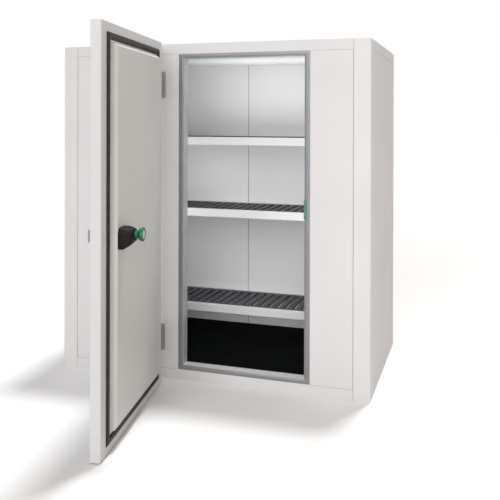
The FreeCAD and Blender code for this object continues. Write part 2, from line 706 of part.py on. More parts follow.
def deck(label, level):
    """A deck with a row of slots that run front to back."""
    body = new_body(label, z=level + " - deck_sink - deck_thick")
    end = "(" + SHELF_END + " - upright_side - deck_play)"
    front = SHELF_FRONT + " + rail_thick + deck_play"
    rear = SHELF_REAR + " - rail_thick - deck_play"
    pad(body, outline(body, "XY_Plane", box_points("-" + end, end, front, rear)), "deck_thick")
    first = "(deck_margin - %s)" % end
    slot_points = box_points(first, first + " + slot_wide",
                             front + " + deck_margin", rear + " - deck_margin")
    slot = pocket(body, outline(body, "XY_Plane", slot_points), "deck_thick")
    doc.recompute()
    row = body.newObject("PartDesign::LinearPattern", "slots")
    row.Originals = [slot]
    row.Direction = (slot.Profile[0], ["H_Axis"])
    bind(row, "Length", "2 * (%s - deck_margin) - slot_wide" % end)
    bind(row, "Occurrences", "slot_count")
    body.Tip = row
    return body


def shelving():
    left, right = "-" + SHELF_END, SHELF_END + " - upright_side"
    front, rear = SHELF_FRONT, SHELF_REAR + " - upright_side"
    pieces = [
        upright("shelf_upright_front_left", left, front),
        upright("shelf_upright_front_right", right, front),
        upright("shelf_upright_back_left", left, rear),
        upright("shelf_upright_back_right", right, rear),
    ]
    for level in ("top", "middle", "low"):
        pieces.append(rail("shelf_front_rail_" + level, "shelf_" + level, True))
        pieces.append(rail("shelf_back_rail_" + level, "shelf_" + level, False))
        pieces.append(deck("shelf_deck_" + level, "shelf_" + level))
    return pieces


PIECES = shell() + door_frame() + [latch_keeper()]
PIECES += hinge("upper", "(room_height - hinge_drop)") + hinge("lower", "hinge_lower")
PIECES += [door_leaf(), door_plug(), door_gasket(), handle_housing(), release_knob(), outside_handle()]
PIECES += shelving()
doc.recompute()

# Nothing is written unless every feature and every sub-part came out whole
for item in doc.Objects:
    if "Invalid" in item.State or "Error" in item.State:
        raise RuntimeError("%s failed: %s" % (item.Name, item.State))
    if item.TypeId == "PartDesign::Pocket" and item.Shape.Volume >= item.BaseFeature.Shape.Volume:
        raise RuntimeError("%s cuts nothing" % item.Name)
for piece in PIECES:
    if piece.Shape.isNull() or not piece.Shape.isValid() or len(piece.Shape.Solids) != 1:
        raise RuntimeError("%s is not one valid solid" % piece.Label)

os.makedirs("parts", exist_ok=True)
for piece in PIECES:
    piece.Shape.exportStep("parts/%s.step" % piece.Label)
print(len(PIECES), "pieces written")
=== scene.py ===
"""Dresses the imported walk-in cold room: materials, seals, handles, fastenings, camera and light.

Metres, +Z up, the front faces -Y. The door stands open in the rest pose, so its pieces are
built in door space, which is the door as it is when closed, measured from the hinge pin:
x runs along the leaf to its free edge and y runs into the room.
"""
import json
import math

import bmesh
import bpy
from mathutils import Matrix, Vector

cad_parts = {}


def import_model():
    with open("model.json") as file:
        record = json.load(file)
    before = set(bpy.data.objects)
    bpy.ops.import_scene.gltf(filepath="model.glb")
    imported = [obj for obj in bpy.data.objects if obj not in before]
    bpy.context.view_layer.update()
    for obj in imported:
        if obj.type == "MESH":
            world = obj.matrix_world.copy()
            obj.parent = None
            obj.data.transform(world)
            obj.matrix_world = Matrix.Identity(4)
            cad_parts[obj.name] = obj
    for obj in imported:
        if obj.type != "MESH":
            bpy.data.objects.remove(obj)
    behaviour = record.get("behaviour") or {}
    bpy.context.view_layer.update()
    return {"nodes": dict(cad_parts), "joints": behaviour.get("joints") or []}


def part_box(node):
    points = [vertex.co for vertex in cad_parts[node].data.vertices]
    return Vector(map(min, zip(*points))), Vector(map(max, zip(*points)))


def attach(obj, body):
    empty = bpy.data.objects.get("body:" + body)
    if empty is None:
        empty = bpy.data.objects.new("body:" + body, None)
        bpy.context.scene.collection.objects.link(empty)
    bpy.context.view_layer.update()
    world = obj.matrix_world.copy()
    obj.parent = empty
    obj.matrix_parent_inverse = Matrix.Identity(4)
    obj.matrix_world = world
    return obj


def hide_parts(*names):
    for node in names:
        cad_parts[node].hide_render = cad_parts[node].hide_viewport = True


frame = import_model()
NODES = frame["nodes"]
MM = 0.001


# Lines of the room's shell, from the frame

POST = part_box("corner_post_front_left")
LEFT, FRONT = POST[0].x, POST[0].y
RIGHT, BACK = -LEFT, -FRONT
POST_LEG = POST[1].x - POST[0].x
WALL_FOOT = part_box("floor_panel")[1].z
WALL_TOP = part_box("ceiling_panel")[0].z
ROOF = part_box("ceiling_panel")[1].z
BACK_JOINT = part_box("back_wall_right")[0].x
BACK_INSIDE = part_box("back_wall_right")[0].y


# Door space, from the hinge joint

HINGE = next(joint for joint in frame["joints"] if joint["name"] == "door_hinge")
# The joint's highest angle closes the door, which stands open at rest by as much
OPEN_ANGLE = math.radians(HINGE["range_deg"][1])
DOOR_SPACE = (Matrix.Translation((HINGE["pos_m"][0], HINGE["pos_m"][1], 0))
              @ Matrix.Rotation(-OPEN_ANGLE, 4, "Z"))


def door_box(node):
    """Lowest and highest corners of a door node in door space."""
    back = DOOR_SPACE.inverted()
    corners = [back @ vertex.co for vertex in NODES[node].data.vertices]
    low = Vector([min(corner[axis] for corner in corners) for axis in range(3)])
    high = Vector([max(corner[axis] for corner in corners) for axis in range(3)])
    return low, high


# Materials

# A noise texture's values lie mostly between these two
NOISE_SPREAD = (0.3, 0.7)


class Shader:
    """A surface whose textures follow the object's own coordinates."""

    def __init__(self, name, metallic=0.0, specular=0.5):
        self.material = bpy.data.materials.new(name)
        self.material.use_nodes = True
        self.tree = self.material.node_tree
        self.surface = self.tree.nodes["Principled BSDF"]
        self.surface.inputs["Metallic"].default_value = metallic
        self.surface.inputs["Specular IOR Level"].default_value = specular
        self.place = self.tree.nodes.new("ShaderNodeTexCoord").outputs["Object"]
        self.height = None

    def link(self, output, node, socket):
        self.tree.links.new(output, node.inputs[socket])

    def noise(self, scale, detail=3.0, stretch=(1, 1, 1), rough=0.5):
        """Noise over the object, finer or longer along each axis by stretch."""
        mapping = self.tree.nodes.new("ShaderNodeMapping")
        mapping.inputs["Scale"].default_value = stretch
        self.link(self.place, mapping, "Vector")
        texture = self.tree.nodes.new("ShaderNodeTexNoise")
        texture.inputs["Scale"].default_value = scale
        texture.inputs["Detail"].default_value = detail
        texture.inputs["Roughness"].default_value = rough
        self.link(mapping.outputs[0], texture, "Vector")
        return texture.outputs["Fac"]

    def colour(self, source, dark, light):
        """Colour that runs from dark to light over a texture."""
        node = self.tree.nodes.new("ShaderNodeValToRGB")
        for element, position, tone in zip(node.color_ramp.elements, NOISE_SPREAD, (dark, light)):
            element.position = position
            element.color = (*tone, 1)
        self.link(source, node, "Fac")
        self.link(node.outputs["Color"], self.surface, "Base Color")

    def gloss(self, source, low, high):
        """Roughness that runs from low to high over a texture."""
        node = self.tree.nodes.new("ShaderNodeMapRange")
        node.inputs["From Min"].default_value = NOISE_SPREAD[0]
        node.inputs["From Max"].default_value = NOISE_SPREAD[1]
        node.inputs["To Min"].default_value = low
        node.inputs["To Max"].default_value = high
        self.link(source, node, "Value")
        self.link(node.outputs[0], self.surface, "Roughness")

    def bump(self, source, depth):
        """Adds a relief of that depth in metres."""
        node = self.tree.nodes.new("ShaderNodeBump")
        node.inputs["Strength"].default_value = 1.0
        node.inputs["Distance"].default_value = depth
        self.link(source, node, "Height")
        if self.height:
            self.link(self.height, node, "Normal")
        self.height = node.outputs[0]
        self.link(self.height, self.surface, "Normal")


def shade(level, tint):
    """A tint at a level of brightness."""
    return tuple(level * part for part in tint)


def coated_steel(name, level, tint, roughness=0.42):
    """White coated sheet: nearly even colour, faint long waves and orange peel."""
    wave_height, peel_height = 1.2 * MM, 0.03 * MM
    longer_upright = (1, 1, 0.35)
    shader = Shader(name, specular=0.4)
    shader.colour(shader.noise(2.2, detail=2), shade(level * 0.975, tint), shade(level * 1.015, tint))
    shader.gloss(shader.noise(14), roughness - 0.05, roughness + 0.06)
    shader.bump(shader.noise(2.6, detail=1, stretch=longer_upright), wave_height)
    shader.bump(shader.noise(420, detail=2), peel_height)
    return shader.material


def satin_profile(name, level, along, tint=(0.93, 0.96, 1.0)):
    """Grey anodised profile with fine drawing lines along one axis."""
    finer_across, line_height = 60, 0.05 * MM
    stretch = [finer_across] * 3
    stretch[along] = 1
    shader = Shader(name, metallic=0.35)
    shader.colour(shader.noise(9, stretch=stretch), shade(level * 0.92, tint), shade(level * 1.06, tint))
    shader.gloss(shader.noise(6, detail=2), 0.34, 0.46)
    shader.bump(shader.noise(14, detail=2, stretch=stretch), line_height)
    return shader.material


def rubber(name):
    """Soft black rubber, dull in patches."""
    shader = Shader(name, specular=0.35)
    shader.colour(shader.noise(30), (0.010, 0.010, 0.009), (0.030, 0.029, 0.027))
    shader.gloss(shader.noise(55, detail=2), 0.5, 0.68)
    shader.bump(shader.noise(900, detail=2), 0.05 * MM)
    return shader.material


def moulded(name, dark, light, roughness, grain=0.06 * MM, specular=0.5):
    """Moulded plastic with a fine spark-eroded grain."""
    shader = Shader(name, specular=specular)
    shader.colour(shader.noise(22), dark, light)
    shader.gloss(shader.noise(60, detail=2), roughness - 0.06, roughness + 0.08)
    shader.bump(shader.noise(1500, detail=2), grain)
    return shader.material


def bright_steel(name, dark, light):
    """Turned steel with a fine uneven polish."""
    shader = Shader(name, metallic=0.9)
    shader.colour(shader.noise(70), dark, light)
    shader.gloss(shader.noise(160, detail=2), 0.24, 0.4)
    shader.bump(shader.noise(700, detail=2), 0.03 * MM)
    return shader.material


def floor_film(name):
    """Dark film with a pressed mesh that stops shoes from slipping."""
    cells_per_metre, rib_width, rib_height = 110, 0.12, 0.4 * MM
    shader = Shader(name, specular=0.04)
    shader.colour(shader.noise(4, rough=0.4), (0.0022, 0.0030, 0.0033), (0.0042, 0.0052, 0.0056))
    shader.gloss(shader.noise(16), 0.7, 0.85)
    cells = shader.tree.nodes.new("ShaderNodeTexVoronoi")
    cells.feature = "DISTANCE_TO_EDGE"
    cells.inputs["Scale"].default_value = cells_per_metre
    cells.inputs["Randomness"].default_value = 0.15
    shader.link(shader.place, cells, "Vector")
    rib = shader.tree.nodes.new("ShaderNodeMapRange")
    rib.inputs["From Max"].default_value = rib_width
    rib.inputs["To Min"].default_value = 1.0
    rib.inputs["To Max"].default_value = 0.0
    shader.link(cells.outputs["Distance"], rib, "Value")
    shader.bump(rib.outputs[0], rib_height)
    return shader.material


# Axis that a profile's drawing lines follow
ALONG_X, ALONG_Z = 0, 2
# Relief of a polished moulding
FINE_GRAIN = 0.02 * MM

WALL = coated_steel("wall skin", 0.86, (1.0, 0.992, 0.99))
POST_SKIN = coated_steel("post skin", 0.87, (1.0, 0.993, 0.988), 0.38)
LEAF = coated_steel("leaf skin", 0.88, (0.99, 0.995, 1.0))
PLUG = coated_steel("plug skin", 0.86, (1.0, 0.995, 0.965), 0.46)
SHELF_WHITE = coated_steel("shelf skin", 0.86, (0.985, 1.0, 1.0), 0.4)
FRAME_UPRIGHT = satin_profile("frame upright", 0.29, ALONG_Z)
FRAME_LEVEL = satin_profile("frame level", 0.32, ALONG_X)
SHELF_UPRIGHT = satin_profile("shelf upright", 0.62, ALONG_Z)
GASKET = rubber("gasket rubber")
FLOOR_FILM = floor_film("floor film")
DECK = moulded("deck plastic", (0.030, 0.036, 0.050), (0.052, 0.060, 0.080), 0.5)
HOUSING = moulded("housing plastic", (0.005, 0.005, 0.005), (0.012, 0.011, 0.010), 0.5, specular=0.16)
KNOB = moulded("knob plastic", (0.000, 0.125, 0.050), (0.004, 0.200, 0.085), 0.28, FINE_GRAIN)
KNOB_FACE = moulded("knob face", (0.58, 0.74, 0.60), (0.70, 0.84, 0.70), 0.4, FINE_GRAIN)
KEEPER = moulded("keeper plastic", (0.08, 0.22, 0.17), (0.12, 0.30, 0.24), 0.3, FINE_GRAIN)
GRIP = moulded("grip plastic", (0.32, 0.325, 0.33), (0.39, 0.395, 0.40), 0.45)
HINGE_STEEL = coated_steel("hinge coat", 0.44, (1.0, 1.0, 0.98), 0.42)
PIN_STEEL = bright_steel("pin steel", (0.42, 0.42, 0.43), (0.60, 0.60, 0.61))
SCREW_STEEL = bright_steel("screw steel", (0.40, 0.40, 0.41), (0.58, 0.58, 0.58))
# Painted shade: this dark sealant also stands in for the shade inside the panel joints' grooves
SEAM_SEALANT_AND_SHADE = moulded("seam sealant and painted shade", (0.12, 0.115, 0.115), (0.18, 0.175, 0.17), 0.6)
FAINT_SEAM = moulded("pale sealant", (0.42, 0.415, 0.41), (0.50, 0.495, 0.49), 0.6)
LINING = satin_profile("frame lining", 0.64, ALONG_Z, (1.0, 1.0, 0.99))
SILL_LINING = coated_steel("sill lining", 0.88, (0.97, 0.99, 1.0), 0.35)


# Mesh helpers

# Smallest radius of a turned tip, so that its ring keeps its points
POINT = 1e-5
# Points closer than this become one
WELD = 1e-6


def finish_mesh(name, mesh, material, body, smooth=35.0):
    """Welds and smooths a mesh, makes it an object and lets that ride on a body."""
    bmesh.ops.remove_doubles(mesh, verts=mesh.verts, dist=WELD)
    bmesh.ops.recalc_face_normals(mesh, faces=mesh.faces)
    for face in mesh.faces:
        face.smooth = True
    for edge in mesh.edges:
        if len(edge.link_faces) == 2 and edge.calc_face_angle(0) > math.radians(smooth):
            edge.smooth = False
    data = bpy.data.meshes.new(name)
    mesh.to_mesh(data)
    mesh.free()
    data.materials.append(material)
    piece = bpy.data.objects.new(name, data)
    bpy.context.scene.collection.objects.link(piece)
    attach(piece, body)
    return piece


def loft(mesh, rings, capped=True):
    """Joins rings of points, each with the same number, into a skin."""
    rows = [[mesh.verts.new(point) for point in ring] for ring in rings]
    count = len(rows[0])
    for low, high in zip(rows, rows[1:]):
        for index in range(count):
            following = (index + 1) % count
            mesh.faces.new((low[index], low[following], high[following], high[index]))
    if capped:
        mesh.faces.new(rows[0])
        mesh.faces.new(rows[-1][::-1])


def circle(space, radius, height, sides=48):
    """Points round the z axis of a space."""
    turns = [math.tau * step / sides for step in range(sides)]
    return [space @ Vector((radius * math.cos(turn), radius * math.sin(turn), height)) for turn in turns]


def turned(mesh, profile, space, capped=True):
    """Turns (radius, height) points about the z axis of a space."""
    loft(mesh, [circle(space, max(radius, POINT), height) for radius, height in profile], capped)


def arc(x, y, radius, start, end, steps):
    """Points of an arc, from start to end in degrees."""
    angles = [math.radians(start + (end - start) * step / steps) for step in range(steps + 1)]
    return [(x + radius * math.cos(angle), y + radius * math.sin(angle)) for angle in angles]


def round_rect(x0, x1, z0, z1, low, high, steps):
    """A rectangle's outline with one rounding for its low corners and one for its high ones."""
    points = []
    corners = [(x1, z0, low, -1, 1, -90), (x1, z1, high, -1, -1, 0),
               (x0, z1, high, 1, -1, 90), (x0, z0, low, 1, 1, 180)]
    for x, z, radius, across, along, start in corners:
        points += arc(x + across * radius, z + along * radius, radius, start, start + 90, steps)
    return points


def in_door(points, y):
    """Outline points (x, z) as a ring at one depth of door space."""
    return [DOOR_SPACE @ Vector((x, y, z)) for x, z in points]


def facing(place, normal, space=Matrix.Identity(4)):
    """A space whose z axis points along a normal, at a place."""
    normal = Vector(normal)
    return space @ Matrix.Translation(place) @ normal.to_track_quat("Z", "Y").to_matrix().to_4x4()


# Materials of the nodes that stay

def paint(material, *names):
    """Gives nodes one material."""
    for name in names:
        data = NODES[name].data
        data.materials.clear()
        data.materials.append(material)


SHELF_LEVELS = ("top", "middle", "low")
paint(WALL, "floor_panel", "ceiling_panel", "front_wall_left", "front_wall_right", "side_wall_right",
      "side_wall_left", "back_wall_right", "back_wall_left")
paint(POST_SKIN, "corner_post_front_left", "corner_post_front_right", "corner_post_back_right",
      "corner_post_back_left")
paint(FLOOR_FILM, "floor_covering")
paint(FRAME_UPRIGHT, "frame_jamb_left", "frame_jamb_right")
paint(FRAME_LEVEL, "frame_sill", "frame_head")
paint(KEEPER, "latch_keeper")
paint(HINGE_STEEL, "hinge_wall_plate_upper", "hinge_wall_plate_lower", "hinge_strap_upper",
      "hinge_strap_lower")
paint(PIN_STEEL, "hinge_pin_upper", "hinge_pin_lower")
paint(LEAF, "door_leaf")
paint(PLUG, "door_plug")
paint(SHELF_UPRIGHT, *["shelf_upright_" + place for place in ("front_left", "front_right",
                                                              "back_left", "back_right")])
paint(SHELF_WHITE, *["shelf_%s_rail_%s" % (side, level)
                     for side in ("front", "back") for level in SHELF_LEVELS])
paint(DECK, *["shelf_deck_" + level for level in SHELF_LEVELS])


# Door seal

def door_gasket():
    """A rounded bulb between two flat lips, mitred round the plug."""
    low, high = door_box("door_gasket")
    face = door_box("door_leaf")[1].y
    width, lip, foot, bevel = 34 * MM, 5 * MM, 4 * MM, 1 * MM
    fullness = 0.8
    swell = high.y - face - foot
    bulb = (width - 2 * lip) / 2
    section = [(0, 0), (0, foot - bevel), (bevel, foot), (lip, foot)]
    for degrees in range(15, 166, 15):
        turn = math.radians(degrees)
        section.append((width / 2 - bulb * math.cos(turn), foot + swell * math.sin(turn) ** fullness))
    section += [(width - lip, foot), (width - bevel, foot), (width, foot - bevel), (width, 0)]
    mesh = bmesh.new()
    rings = []
    for inset, out in section:
        x0, x1 = low.x + inset, high.x - inset
        z0, z1 = low.z + inset, high.z - inset
        rings.append(in_door([(x0, z0), (x1, z0), (x1, z1), (x0, z1)], face + out))
    rings.append(rings[0])
    loft(mesh, rings, capped=False)
    piece = finish_mesh("door_seal", mesh, GASKET, "door", smooth=50)
    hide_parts("door_gasket")


# Inside release: housing, collar and sprung knob

def housing():
    """A moulded block with a round shoulder, a sloped underside and a groove round its foot."""
    low, high = door_box("handle_housing")
    # mm: depth, shrink at the sides and top, rise of the underside, low and high corner radius
    sections = [
        (0, 0, 0, 5, 26), (2.5, 0, 0, 5, 26), (3.0, 1, 1, 5, 25), (4.0, 1, 1, 5, 25),
        (4.5, 0, 0, 5, 26), (22, 0, 0, 5, 27), (26, 0.4, 0.8, 6, 28), (29, 1.4, 3.0, 7, 28),
    ]
    slope_start, slope_deep, slope_steps = 27, 31, 7
    side_start, side_shrink, side_curve = 1.0, 9.0, 1.6
    under_start, under_rise = 2.0, 26
    for step in range(1, slope_steps):
        part = step / slope_steps
        sections.append((slope_start + slope_deep * part, side_start + side_shrink * part ** side_curve,
                         under_start + under_rise * part, 7, 28))
    sections += [(59.5, 10.6, 28.6, 7, 26), (61.2, 11.8, 30.2, 6, 25), (62, 14.0, 32.4, 5, 23)]
    corner_steps = 5
    mesh = bmesh.new()
    rings = []
    for depth, side, under, low_round, high_round in sections:
        outline = round_rect(low.x + side * MM, high.x - side * MM, low.z + under * MM, high.z - side * MM,
                             low_round * MM, high_round * MM, corner_steps)
        rings.append(in_door(outline, low.y + depth * MM))
    loft(mesh, rings)
    piece = finish_mesh("release_housing", mesh, HOUSING, "door")
    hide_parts("handle_housing")


def knob_axis():
    """Door space moved to the knob's axis, its z pointing out of the leaf."""
    low, high = door_box("release_knob")
    return facing(((low.x + high.x) / 2, 0, (low.z + high.z) / 2), (0, 1, 0), DOOR_SPACE)


def collar():
    """The ring that guides the knob's neck, on the housing's face."""
    face = door_box("handle_housing")[1].y
    neck, rim, sunk, proud, edge = 19.6 * MM, 23.5 * MM, 1 * MM, 2.6 * MM, 0.8 * MM
    profile = [(neck, face - sunk), (rim, face - sunk), (rim, face + proud - 1 * MM),
               (rim - 1.2 * MM, face + proud), (neck + edge, face + proud), (neck, face + proud - edge)]
    mesh = bmesh.new()
    turned(mesh, profile + profile[:1], knob_axis(), capped=False)
    finish_mesh("release_collar", mesh, HOUSING, "door")


def knob():
    """A flared knob with a soft rim and a pale dished face."""
    low, high = door_box("release_knob")
    face = high.y
    rim = (high.x - low.x) / 2
    neck, dish, dish_deep, rim_round = 19 * MM, 21 * MM, 1 * MM, 4 * MM
    flare_start, flare_end = face - 28 * MM, face - 8 * MM
    flare_steps, flare_shape = 12, 0.95
    profile = [(neck, low.y), (neck, flare_start)]
    for step in range(1, flare_steps + 1):
        part = step / flare_steps
        profile.append((neck + (rim - neck) * math.sin(math.radians(90 * part)) ** flare_shape,
                        flare_start + (flare_end - flare_start) * part))
    profile += [(rim, face - 5 * MM)]
    profile += arc(rim - rim_round, face - rim_round, rim_round, 0, 90, 5)
    profile += [(dish + 1.5 * MM, face), (dish, face - dish_deep)]
    mesh = bmesh.new()
    space = knob_axis()
    turned(mesh, profile, space)
    piece = finish_mesh("knob_body", mesh, KNOB, "knob", smooth=40)
    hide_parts("release_knob")
    fit, dome_high = 0.3 * MM, 0.9 * MM
    dome = [(dish - fit, face - dish_deep - 1.2 * MM), (dish - fit, face - dish_deep)]
    for degrees in range(15, 91, 15):
        turn = math.radians(degrees)
        dome.append((dish * math.cos(turn), face - dish_deep + dome_high * math.sin(turn)))
    mesh = bmesh.new()
    turned(mesh, dome, space)
    finish_mesh("knob_face", mesh, KNOB_FACE, "knob", smooth=40)


# Outside handle

def outside_handle():
    """A rounded foot, and a bar that grows out of a deep boss and stands off the leaf."""
    low, high = door_box("outside_handle")
    leaf = door_box("door_leaf")[0].y
    wide, thick, corner, corner_steps = 80 * MM, 12 * MM, 16 * MM, 6
    bevel, shoulder = 4 * MM, 1.2 * MM
    mesh = bmesh.new()
    rings = []
    for out, inset in ((0, 0), (thick - bevel, 0), (thick - shoulder, shoulder), (thick, bevel)):
        outline = round_rect(high.x - wide + inset, high.x - inset, low.z + inset, high.z - inset,
                             corner - inset, corner - inset, corner_steps)
        rings.append(in_door(outline, leaf - out))
    loft(mesh, rings)
    # mm: along the bar from the boss's end, nearest and farthest from the leaf, bottom, top, rounding
    sections = [
        (0, 3, 47, -48, 8, 5), (1.5, 1, 49, -49, 9, 6), (4, 0, 50, -50, 10, 7), (34, 0, 50, -50, 11, 8),
        (50, 0, 50, -44, 13, 8), (62, 1, 50, -34, 15, 8), (72, 6, 50, -26, 16.4, 8),
        (82, 18, 50, -20, 17, 8), (94, 28, 50, -17.4, 17, 8), (106, 30, 50, -17, 17, 8),
        (170, 30, 50, -17, 17, 8), (176, 30.8, 49.2, -15.6, 15.6, 7), (180, 34, 46, -11, 11, 5),
    ]
    centre = (low.z + high.z) / 2
    rings = []
    for along, near, far, bottom, top, radius in sections:
        outline = round_rect(near * MM, far * MM, centre + bottom * MM, centre + top * MM,
                             radius * MM, radius * MM, corner_steps)
        rings.append([DOOR_SPACE @ Vector((high.x - along * MM, leaf - out, z)) for out, z in outline])
    loft(mesh, rings)
    piece = finish_mesh("outer_handle", mesh, GRIP, "door", smooth=40)
    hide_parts("outside_handle")


# Fastenings

def hexagon(space, inner, height, sides):
    """Points round a hexagon at the angles of a circle's points, so that the two can be lofted."""
    sector = math.pi / 3
    ring = []
    for step in range(sides):
        angle = math.tau * step / sides
        reach = inner / math.cos((angle + sector / 2) % sector - sector / 2)
        ring.append(space @ Vector((reach * math.cos(angle), reach * math.sin(angle), height)))
    return ring


def screw(mesh, space, radius):
    """A pan head with a hexagon socket, its z out of the surface."""
    sides = 18
    side_high, edge_round, socket, socket_deep = 0.35 * radius, 0.4 * radius, 0.42 * radius, 0.45 * radius
    profile = [(radius, 0), (radius, side_high)]
    profile += arc(radius - edge_round, side_high, edge_round, 0, 90, 3)[1:]
    rings = [circle(space, distance, height, sides) for distance, height in profile]
    top = profile[-1][1]
    rings += [hexagon(space, socket, height, sides) for height in (top, top - socket_deep)]
    loft(mesh, rings)


def hinge_screws():
    """Four screws in each wall plate and each leaf plate."""
    head, plate = 5 * MM, 4 * MM
    wall_side, wall_end = 12 * MM, 16 * MM
    leaf_near, leaf_far, leaf_end = 14 * MM, 42 * MM, 18 * MM
    for place in ("upper", "lower"):
        low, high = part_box("hinge_wall_plate_" + place)
        mesh = bmesh.new()
        for x in (low.x + wall_side, high.x - wall_side):
            for z in (low.z + wall_end, high.z - wall_end):
                screw(mesh, facing((x, high.y - plate, z), (0, -1, 0)), head)
        finish_mesh("hinge_wall_screws_" + place, mesh, SCREW_STEEL, "room")
        low, high = door_box("hinge_strap_" + place)
        mesh = bmesh.new()
        for x in (high.x - leaf_near, high.x - leaf_far):
            for z in (low.z + leaf_end, high.z - leaf_end):
                screw(mesh, facing((x, low.y, z), (0, -1, 0), DOOR_SPACE), head)
        finish_mesh("hinge_leaf_screws_" + place, mesh, SCREW_STEEL, "door")


# Sealant in the panel joints; the dark sealant in the upright joints also paints the shade of their
# grooves

# Each bead: width, height in front of the panel, depth behind its surface
SUNK_BEAD = (2.8 * MM, -0.7 * MM, 2.4 * MM)
SCORED_BEAD = (1.7 * MM, -0.3 * MM, 1.8 * MM)
FLUSH_BEAD = (1.8 * MM, 0.35 * MM, 1.5 * MM)
INSIDE_BEAD = (3.2 * MM, 0.5 * MM, 1.5 * MM)


def bead(mesh, start, end, normal, size):
    """A strip of sealant along a joint, its back behind the surface and its face rounded."""
    width, proud, sunk = size
    start, end, normal = Vector(start), Vector(end), Vector(normal)
    across = normal.cross(end - start).normalized()
    round_off = 0.25 * MM
    section = [(-0.5, -sunk), (-0.5, proud - round_off), (-0.28, proud), (0.28, proud),
               (0.5, proud - round_off), (0.5, -sunk)]
    loft(mesh, [[place + across * (u * width) + normal * v for u, v in section] for place in (start, end)])


def seams_upright():
    """The joints beside the corner posts, on through floor and ceiling, and between the back panels."""
    step_out, end_gap = 1.0 * MM, 1.0 * MM
    inner_x = (LEFT + POST_LEG, RIGHT - POST_LEG)
    inner_y = (FRONT + POST_LEG, BACK - POST_LEG)
    joints = [((x, y, 0), (0, y / BACK, 0), (math.copysign(step_out, x), 0, 0))
              for x in inner_x for y in (FRONT, BACK)]
    joints += [((x, y, 0), (x / RIGHT, 0, 0), (0, math.copysign(step_out, y), 0))
               for x in (LEFT, RIGHT) for y in inner_y]
    mesh = bmesh.new()
    for place, normal, step in joints:
        wall_line = Vector(place)
        edge_line = wall_line + Vector(step)
        foot, top = Vector((0, 0, WALL_FOOT)), Vector((0, 0, WALL_TOP))
        bead(mesh, wall_line + foot, wall_line + top, normal, SUNK_BEAD)
        for z0, z1 in ((end_gap, WALL_FOOT), (WALL_TOP, ROOF - end_gap)):
            bead(mesh, edge_line + Vector((0, 0, z0)), edge_line + Vector((0, 0, z1)), normal, SCORED_BEAD)
    bead(mesh, (BACK_JOINT, BACK, WALL_TOP), (BACK_JOINT, BACK, WALL_FOOT), (0, 1, 0), SUNK_BEAD)
    # The dark sealant paints the grooves' shade as well as the sealant
    finish_mesh("seams_upright", mesh, SEAM_SEALANT_AND_SHADE, "room", smooth=20)


def seams_level():
    """The joints between the walls and the floor and ceiling panels."""
    x0, x1 = LEFT + POST_LEG, RIGHT - POST_LEG
    y0, y1 = FRONT + POST_LEG, BACK - POST_LEG
    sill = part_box("frame_sill")
    mesh = bmesh.new()
    for z in (WALL_FOOT, WALL_TOP):
        for start, end in ((x0, sill[0].x), (sill[1].x, x1)):
            bead(mesh, (start, FRONT, z), (end, FRONT, z), (0, -1, 0), FLUSH_BEAD)
        bead(mesh, (x0, BACK, z), (x1, BACK, z), (0, 1, 0), FLUSH_BEAD)
        for x, side in ((LEFT, -1), (RIGHT, 1)):
            bead(mesh, (x, y0, z), (x, y1, z), (side, 0, 0), FLUSH_BEAD)
    finish_mesh("seams_level", mesh, FAINT_SEAM, "room", smooth=20)


def seam_inside():
    """The joint between the back panels, as it shows behind the shelves."""
    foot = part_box("floor_covering")[1].z
    mesh = bmesh.new()
    bead(mesh, (BACK_JOINT, BACK_INSIDE, foot), (BACK_JOINT, BACK_INSIDE, WALL_TOP), (0, -1, 0),
         INSIDE_BEAD)
    # The dark sealant paints the joint's shade as well as the sealant
    finish_mesh("seam_inside", mesh, SEAM_SEALANT_AND_SHADE, "room", smooth=20)


# Doorway

def lining():
    """Pale cover strips on the frame's faces towards the doorway, mitred into one ring."""
    x0, x1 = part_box("frame_jamb_left")[1].x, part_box("frame_jamb_right")[0].x
    z0, z1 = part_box("frame_sill")[1].z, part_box("frame_head")[0].z
    front = FRONT + 1.5 * MM
    depth, skin, edge, sunk = 57 * MM, 1.0 * MM, 0.6 * MM, 0.5 * MM
    section = [(-sunk, 0), (skin - edge, 0), (skin, edge), (skin, depth - edge),
               (skin - edge, depth), (-sunk, depth)]
    mesh = bmesh.new()
    rings = []
    for inset, back in section:
        corners = [(x0 + inset, z0 + inset), (x1 - inset, z0 + inset),
                   (x1 - inset, z1 - inset), (x0 + inset, z1 - inset)]
        rings.append([Vector((x, front + back, z)) for x, z in corners])
    loft(mesh, rings + rings[:1], capped=False)
    for face in mesh.faces:
        on_sill = face.calc_center_median().z < z0 + 2 * skin
        face.material_index = int(on_sill)
    piece = finish_mesh("frame_lining", mesh, LINING, "room", smooth=20)
    piece.data.materials.append(SILL_LINING)


door_gasket()
housing()
collar()
knob()
outside_handle()
hinge_screws()
seams_upright()
seams_level()
seam_inside()
lining()


# Camera

IMAGE = 500
FOCAL_PX, CENTRE_X, CENTRE_Y = 690.6, 261.2, 119.7
EYE = Vector((1.5275, -4.3122, 1.5553))
YAW, PITCH, ROLL = 0.30525, -0.00153, 0.00264


